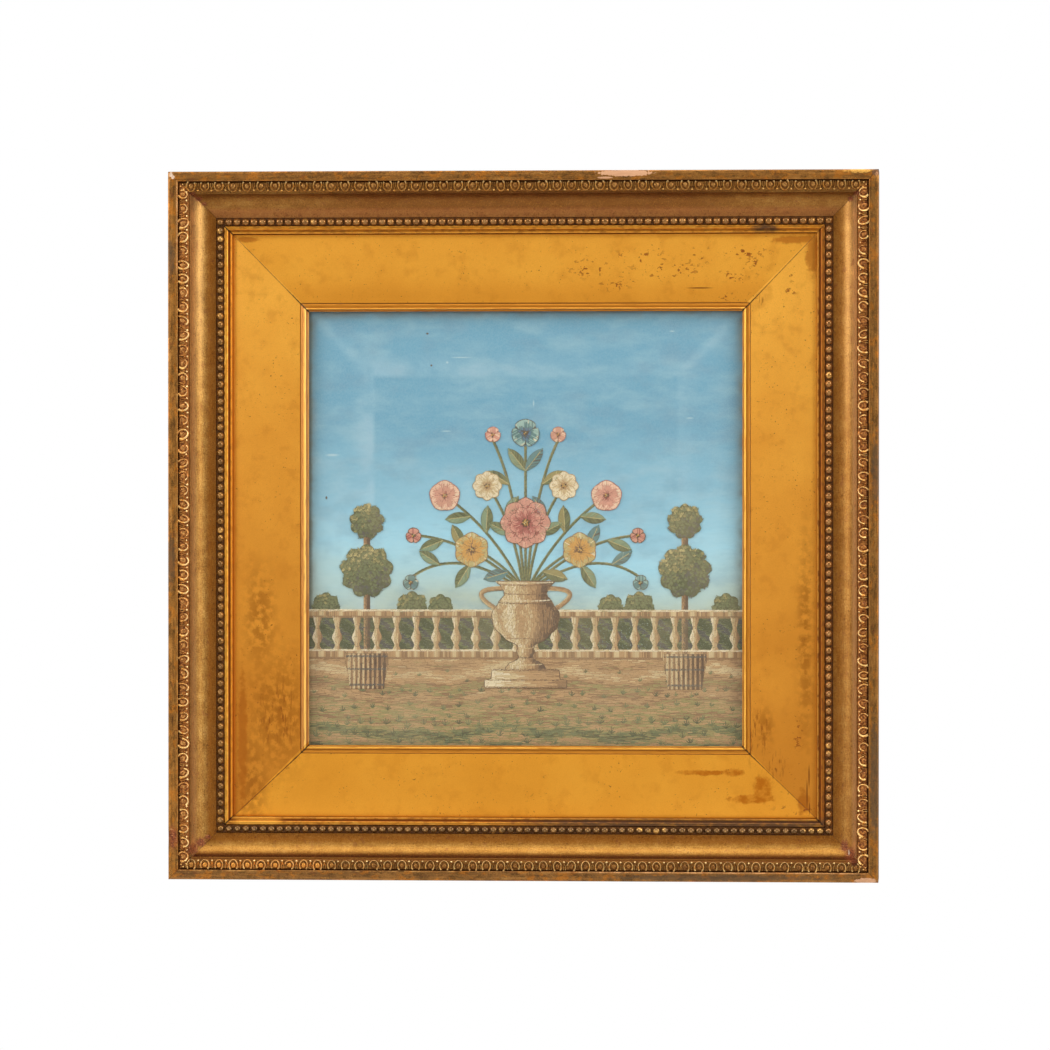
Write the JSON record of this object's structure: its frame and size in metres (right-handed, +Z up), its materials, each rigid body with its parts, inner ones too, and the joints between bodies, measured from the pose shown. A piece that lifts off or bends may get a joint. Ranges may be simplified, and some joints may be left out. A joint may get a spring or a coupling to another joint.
{
  "type": "framed needlework picture",
  "caption": "Square silk needlework picture under glass in a deep gilt moulded frame with egg and bead ornament and a wide flat gilt liner.",
  "frame": {"origin": "centre of the top rail's flat back face, which lies on the wall", "axes": "+Z up, +Y into the wall, so the picture faces -Y, and +X to the viewer's right"},
  "size_m": [0.497, 0.045, 0.496],
  "materials": {
    "dark_gilt": "old water gilding on gesso, darkened and rubbed to the red-brown ground",
    "bronze_gilt": "dark bronzed composition with small bright spots",
    "bright_gilt": "matt oil gilding, flat and bright, with brown spots and worn patches",
    "pane": "thin clear old glass",
    "silk": "painted silk ground with satin and long-and-short stitching in silk floss",
    "bare_wood": "bare planed softwood, aged brown"
  },
  "bodies": {
    "root": {"outer_rail_top": "dark_gilt", "outer_rail_right": "dark_gilt", "outer_rail_bottom": "dark_gilt", "outer_rail_left": "dark_gilt", "egg_strip_top": "dark_gilt", "egg_strip_right": "dark_gilt", "egg_strip_bottom": "dark_gilt", "egg_strip_left": "dark_gilt", "bead_strip_top": "bronze_gilt", "bead_strip_right": "bronze_gilt", "bead_strip_bottom": "bronze_gilt", "bead_strip_left": "bronze_gilt", "liner_rail_top": "bright_gilt", "liner_rail_right": "bright_gilt", "liner_rail_bottom": "bright_gilt", "liner_rail_left": "bright_gilt", "sight_slip_top": "bright_gilt", "sight_slip_right": "bright_gilt", "sight_slip_bottom": "bright_gilt", "sight_slip_left": "bright_gilt", "strainer_bar_top": "bare_wood", "strainer_bar_right": "bare_wood", "strainer_bar_bottom": "bare_wood", "strainer_bar_left": "bare_wood", "glass_pane": "pane", "embroidered_silk": "silk", "backboard": "bare_wood"}
  },
  "joints": []
}
